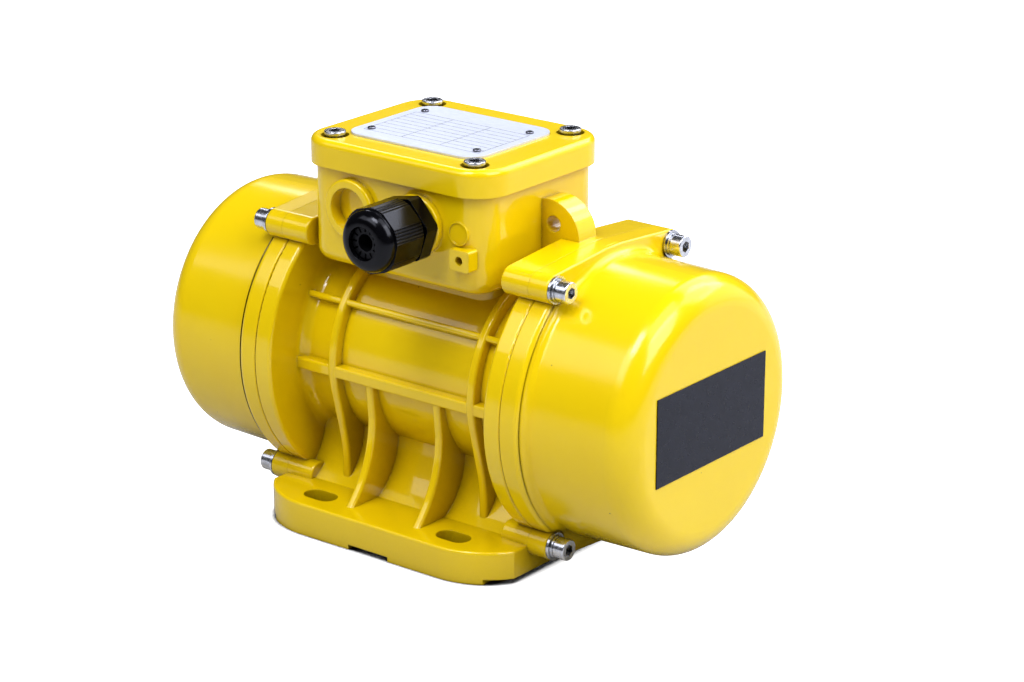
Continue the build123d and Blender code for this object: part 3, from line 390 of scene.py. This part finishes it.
def layered(name, color, band_width):
    """Stacked sheets or laid wire: light and dark bands that follow each other along the shaft."""
    made, tree, shader = material(name, color, metallic=0.9, roughness=0.4)
    wave = node(tree, "ShaderNodeTexWave", Scale=0.5 / band_width / math.pi, Distortion=BAND_WAVER)
    link(tree, place(tree), wave.inputs["Vector"])
    shade = blend_colors(tree, wave.outputs["Fac"], times(color, BAND_SHARE), color)
    link(tree, shade, shader.inputs["Base Color"])
    link(tree, bump(tree, wave.outputs["Fac"], BAND_DEPTH, RELIEF_STRENGTH), shader.inputs["Normal"])
    return made


def lines_at(tree, value, places):
    """Factor of thin lines where a value comes to one of the places."""
    lines = within(tree, value, places[0], LINE_HALF)
    for spot in places[1:]:
        lines = combine(tree, "MAXIMUM", lines, within(tree, value, spot, LINE_HALF))
    return lines


def ruled_lines(tree):
    """Factor of the plate's empty table: rows along X and a few upright lines between them."""
    split = split_place(tree)
    along = split.outputs["X"]
    over = split.outputs["Y"]
    levels = [ROW_TOP - index * ROW_PITCH for index in range(ROW_COUNT)]
    row_span = within(tree, along, ROW_MIDDLE, ROW_HALF)
    post_span = within(tree, over, (levels[0] + levels[-1]) / 2, (levels[0] - levels[-1]) / 2)
    rows = combine(tree, "MULTIPLY", lines_at(tree, over, levels), row_span)
    posts = combine(tree, "MULTIPLY", lines_at(tree, along, POST_PLACES), post_span)
    lines = combine(tree, "MAXIMUM", rows, posts)
    return combine(tree, "MULTIPLY", lines, patches(tree, *LINE_WEAR))


def plate_metal():
    """Satin metal plate with brushed grain and empty ruled lines."""
    made, tree, shader = material("satin_plate", PLATE_COLOR, metallic=0.35, roughness=0.36)
    grain = noise(tree, *PLATE_GRAIN, PLATE_STRETCH)
    shade = blend_colors(tree, ramp(tree, grain, 0.35, 0.7), PLATE_COLOR, PLATE_DULL)
    shade = blend_colors(tree, ruled_lines(tree), shade, PLATE_LINE)
    link(tree, shade, shader.inputs["Base Color"])
    link(tree, ramp(tree, grain, 0.3, 0.7, 0.3, 0.42), shader.inputs["Roughness"])
    link(tree, bump(tree, grain, PLATE_DEPTH, 0.5, soft_edges(tree, PLATE_EDGE)), shader.inputs["Normal"])
    return made


def coat(made, names):
    """Gives CAD nodes a material."""
    for name in names:
        mesh_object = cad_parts[name]
        for slot in mesh_object.material_slots:
            slot.material = made
        if not mesh_object.material_slots:
            mesh_object.data.materials.append(made)


def dress_nodes():
    """Materials of the CAD nodes."""
    kinds = ((ENAMELS, enamel), (PLATED, plated), (CAST, cast_metal), (LAYERED, layered), (MOULDED, moulded))
    for table, make in kinds:
        for *values, names in table:
            coat(make(*values), names)
    coat(plate_metal(), ["nameplate"])


def camera_matrix():
    """Place of the camera from its azimuth, elevation, roll and offset."""
    azimuth, elevation, roll = (math.radians(a) for a in (CAMERA_AZIMUTH, CAMERA_ELEVATION, CAMERA_ROLL))
    back = Vector((
        math.sin(azimuth) * math.cos(elevation),
        -math.cos(azimuth) * math.cos(elevation),
        math.sin(elevation),
    ))
    right = Vector((math.cos(azimuth), math.sin(azimuth), 0))
    up = back.cross(right)
    rows = (
        math.cos(roll) * right + math.sin(roll) * up,
        -math.sin(roll) * right + math.cos(roll) * up,
        back,
    )
    turn = Matrix(rows)
    spot = -(turn.transposed() @ Vector(CAMERA_OFFSET)) * MM
    return Matrix.Translation(spot) @ turn.transposed().to_4x4()


def add_camera():
    """Camera at the photograph's viewing angle."""
    data = bpy.data.cameras.new("photo_camera")
    data.lens = CAMERA_LENS
    data.sensor_width = SENSOR_WIDTH
    camera = bpy.data.objects.new("photo_camera", data)
    camera.matrix_world = camera_matrix()
    bpy.context.scene.collection.objects.link(camera)
    bpy.context.scene.camera = camera


def add_light(name, azimuth, elevation, edge, power):
    """Square soft light on a sphere round the object, aimed at its middle."""
    data = bpy.data.lights.new(name, "AREA")
    data.shape = "SQUARE"
    data.size = edge
    data.energy = power
    data.color = LIGHT_COLOR
    lamp = bpy.data.objects.new(name, data)
    turn = math.radians(azimuth)
    lift = math.radians(elevation)
    ray = Vector((math.cos(turn) * math.cos(lift), math.sin(turn) * math.cos(lift), math.sin(lift)))
    spot = Vector(LIGHT_TARGET) + LIGHT_DISTANCE * ray
    lamp.matrix_world = Matrix.Translation(spot) @ (-ray).to_track_quat("-Z", "Y").to_matrix().to_4x4()
    bpy.context.scene.collection.objects.link(lamp)


def floor_material():
    """Pale matt floor that glows for the camera, with a painted contact shadow where it meets the foot."""
    look = {"roughness": FLOOR_ROUGHNESS, "Emission_Color": WHITE}
    made, tree, shader = material("pale_floor", FLOOR_COLOR, **look)
    # Painted contact shadow: darker colour and no glow where the floor meets the foot
    contact_shadow = closed_in(tree, *CONTACT_SHADE)
    link(tree, blend_colors(tree, contact_shadow, FLOOR_COLOR, PAINTED_DARK_SHADE), shader.inputs["Base Color"])
    rays = node(tree, "ShaderNodeLightPath")
    glow = ramp(tree, rays.outputs["Is Camera Ray"], 0, 1, 0.0, FLOOR_GLOW)
    open_floor = ramp(tree, contact_shadow, 0, 1, 1.0, 0.0)
    link(tree, combine(tree, "MULTIPLY", glow, open_floor), shader.inputs["Emission Strength"])
    return made


def add_floor():
    """Pale floor under the foot."""
    shape = bmesh.new()
    bmesh.ops.create_grid(shape, x_segments=1, y_segments=1, size=FLOOR_SIZE)
    mesh = bpy.data.meshes.new("floor")
    shape.to_mesh(mesh)
    shape.free()
    floor = bpy.data.objects.new("floor", mesh)
    floor.location = (0, 0, cad_box[0][2] - FLOOR_GAP)
    mesh.materials.append(floor_material())
    bpy.context.scene.collection.objects.link(floor)


def add_world():
    """White studio: full for the camera, softer on matt surfaces and softest in reflections."""
    world = bpy.data.worlds.new("studio")
    world.use_nodes = True
    tree = world.node_tree
    background = tree.nodes["Background"]
    background.inputs["Color"].default_value = WHITE
    rays = node(tree, "ShaderNodeLightPath")
    soft = ramp(tree, rays.outputs["Is Glossy Ray"], 0, 1, AMBIENT, AMBIENT_GLOSS)
    link(tree, combine(tree, "MAXIMUM", soft, rays.outputs["Is Camera Ray"]), background.inputs["Strength"])
    bpy.context.scene.world = world
    bpy.context.scene.view_settings.view_transform = VIEW_TRANSFORM
    bpy.context.scene.view_settings.look = VIEW_LOOK


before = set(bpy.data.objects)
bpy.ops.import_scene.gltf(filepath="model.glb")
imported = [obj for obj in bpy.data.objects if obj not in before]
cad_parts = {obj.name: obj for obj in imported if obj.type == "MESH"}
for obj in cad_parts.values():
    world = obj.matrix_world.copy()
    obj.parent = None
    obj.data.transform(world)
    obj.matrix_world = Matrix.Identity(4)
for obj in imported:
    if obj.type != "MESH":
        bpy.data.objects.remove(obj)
cad_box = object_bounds()
dress_nodes()
add_camera()
add_floor()
add_world()
for light in LIGHTS:
    add_light(*light)
